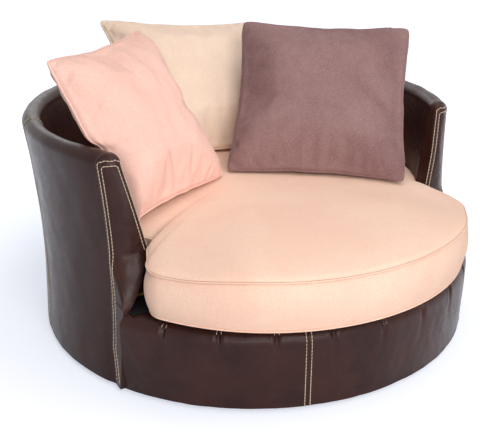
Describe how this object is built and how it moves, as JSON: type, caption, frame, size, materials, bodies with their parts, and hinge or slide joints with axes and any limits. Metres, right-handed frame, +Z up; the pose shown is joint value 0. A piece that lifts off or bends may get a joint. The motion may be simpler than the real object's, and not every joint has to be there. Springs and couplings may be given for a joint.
{
  "type": "swivel cuddle chair",
  "caption": "Round swivel cuddle chair with a low barrel back, raked arm fronts, a loose winged seat cushion and loose square pillows on a ball-bearing floor base.",
  "frame": {"origin": "on the floor, under the middle of the chair; the swivel axis stands 15 mm in front of it", "axes": "+Z up, parallel to the swivel axis, -Y towards the front of the seat, +X towards the right arm as seen from the front"},
  "size_m": [1.2, 1.3488, 0.7872],
  "materials": {
    "glide": "moulded nylon",
    "painted_steel": "black paint",
    "steel": "zinc plated",
    "timber": "bare plywood and softwood",
    "foam": "upholstery foam",
    "leather": "dark brown, satin, light stitching",
    "leather_panel": "dark brown, satin, light stitching",
    "dark_cloth": "black non-woven cloth",
    "seat_fabric": "peach woven, matt",
    "pillow_cream": "cream woven, matt",
    "pillow_pink": "pink woven, matt",
    "pillow_mauve": "mauve woven, matt"
  },
  "bodies": {
    "swivel_base": {"floor_glide_1": "glide", "floor_glide_2": "glide", "floor_glide_3": "glide", "floor_glide_4": "glide", "floor_ring": "painted_steel", "floor_cross": "painted_steel", "lower_race_plate": "steel", "bearing_ball_cage": "steel", "king_bolt": "steel"},
    "chair_body": {"upper_race_plate": "steel", "bottom_ring": "timber", "seat_ring": "timber", "cross_rail_lower": "timber", "cross_rail_upper": "timber", "back_rib_1": "timber", "back_rib_2": "timber", "back_rib_3": "timber", "back_rib_4": "timber", "back_rib_5": "timber", "back_rib_6": "timber", "back_rib_7": "timber", "arm_board_left": "timber", "arm_board_right": "timber", "rim_rail": "timber", "rim_edge_roll": "foam", "front_post_1": "timber", "front_post_2": "timber", "front_post_3": "timber", "front_rail": "timber", "front_border_pad": "foam", "front_border": "leather", "outer_cover": "leather", "inner_cover": "leather", "back_padding": "foam", "arm_panel_left": "leather_panel", "arm_panel_right": "leather_panel", "deck_pad": "dark_cloth", "dust_cover": "dark_cloth", "seat_spring_1": "steel", "seat_spring_2": "steel", "seat_spring_3": "steel", "seat_spring_4": "steel", "seat_spring_5": "steel", "spring_clip_front_1": "steel", "spring_clip_front_2": "steel", "spring_clip_front_3": "steel", "spring_clip_front_4": "steel", "spring_clip_front_5": "steel", "spring_clip_rear_1": "steel", "spring_clip_rear_2": "steel", "spring_clip_rear_3": "steel", "spring_clip_rear_4": "steel", "spring_clip_rear_5": "steel"},
    "seat_cushion": {"seat_cushion": "seat_fabric"},
    "back_pillow": {"pillow_back": "pillow_cream"},
    "left_pillow": {"pillow_left": "pillow_pink"},
    "right_pillow": {"pillow_right": "pillow_mauve"}
  },
  "joints": [
    {"name": "swivel", "type": "hinge", "parent": "swivel_base", "child": "chair_body", "pos_m": [0, -0.015, 0.0457], "axis": [0, 0, 1], "continuous": true},
    {"name": "cushion_lift", "type": "slide", "parent": "chair_body", "child": "seat_cushion", "axis": [0, 0, 1], "range_m": [0, 0.4]},
    {"name": "back_pillow_lift", "type": "slide", "parent": "seat_cushion", "child": "back_pillow", "axis": [0, 0, 1], "range_m": [0, 0.3]},
    {"name": "left_pillow_lift", "type": "slide", "parent": "back_pillow", "child": "left_pillow", "axis": [0, 0, 1], "range_m": [0, 0.3]},
    {"name": "right_pillow_lift", "type": "slide", "parent": "back_pillow", "child": "right_pillow", "axis": [0, 0, 1], "range_m": [0, 0.3]}
  ]
}
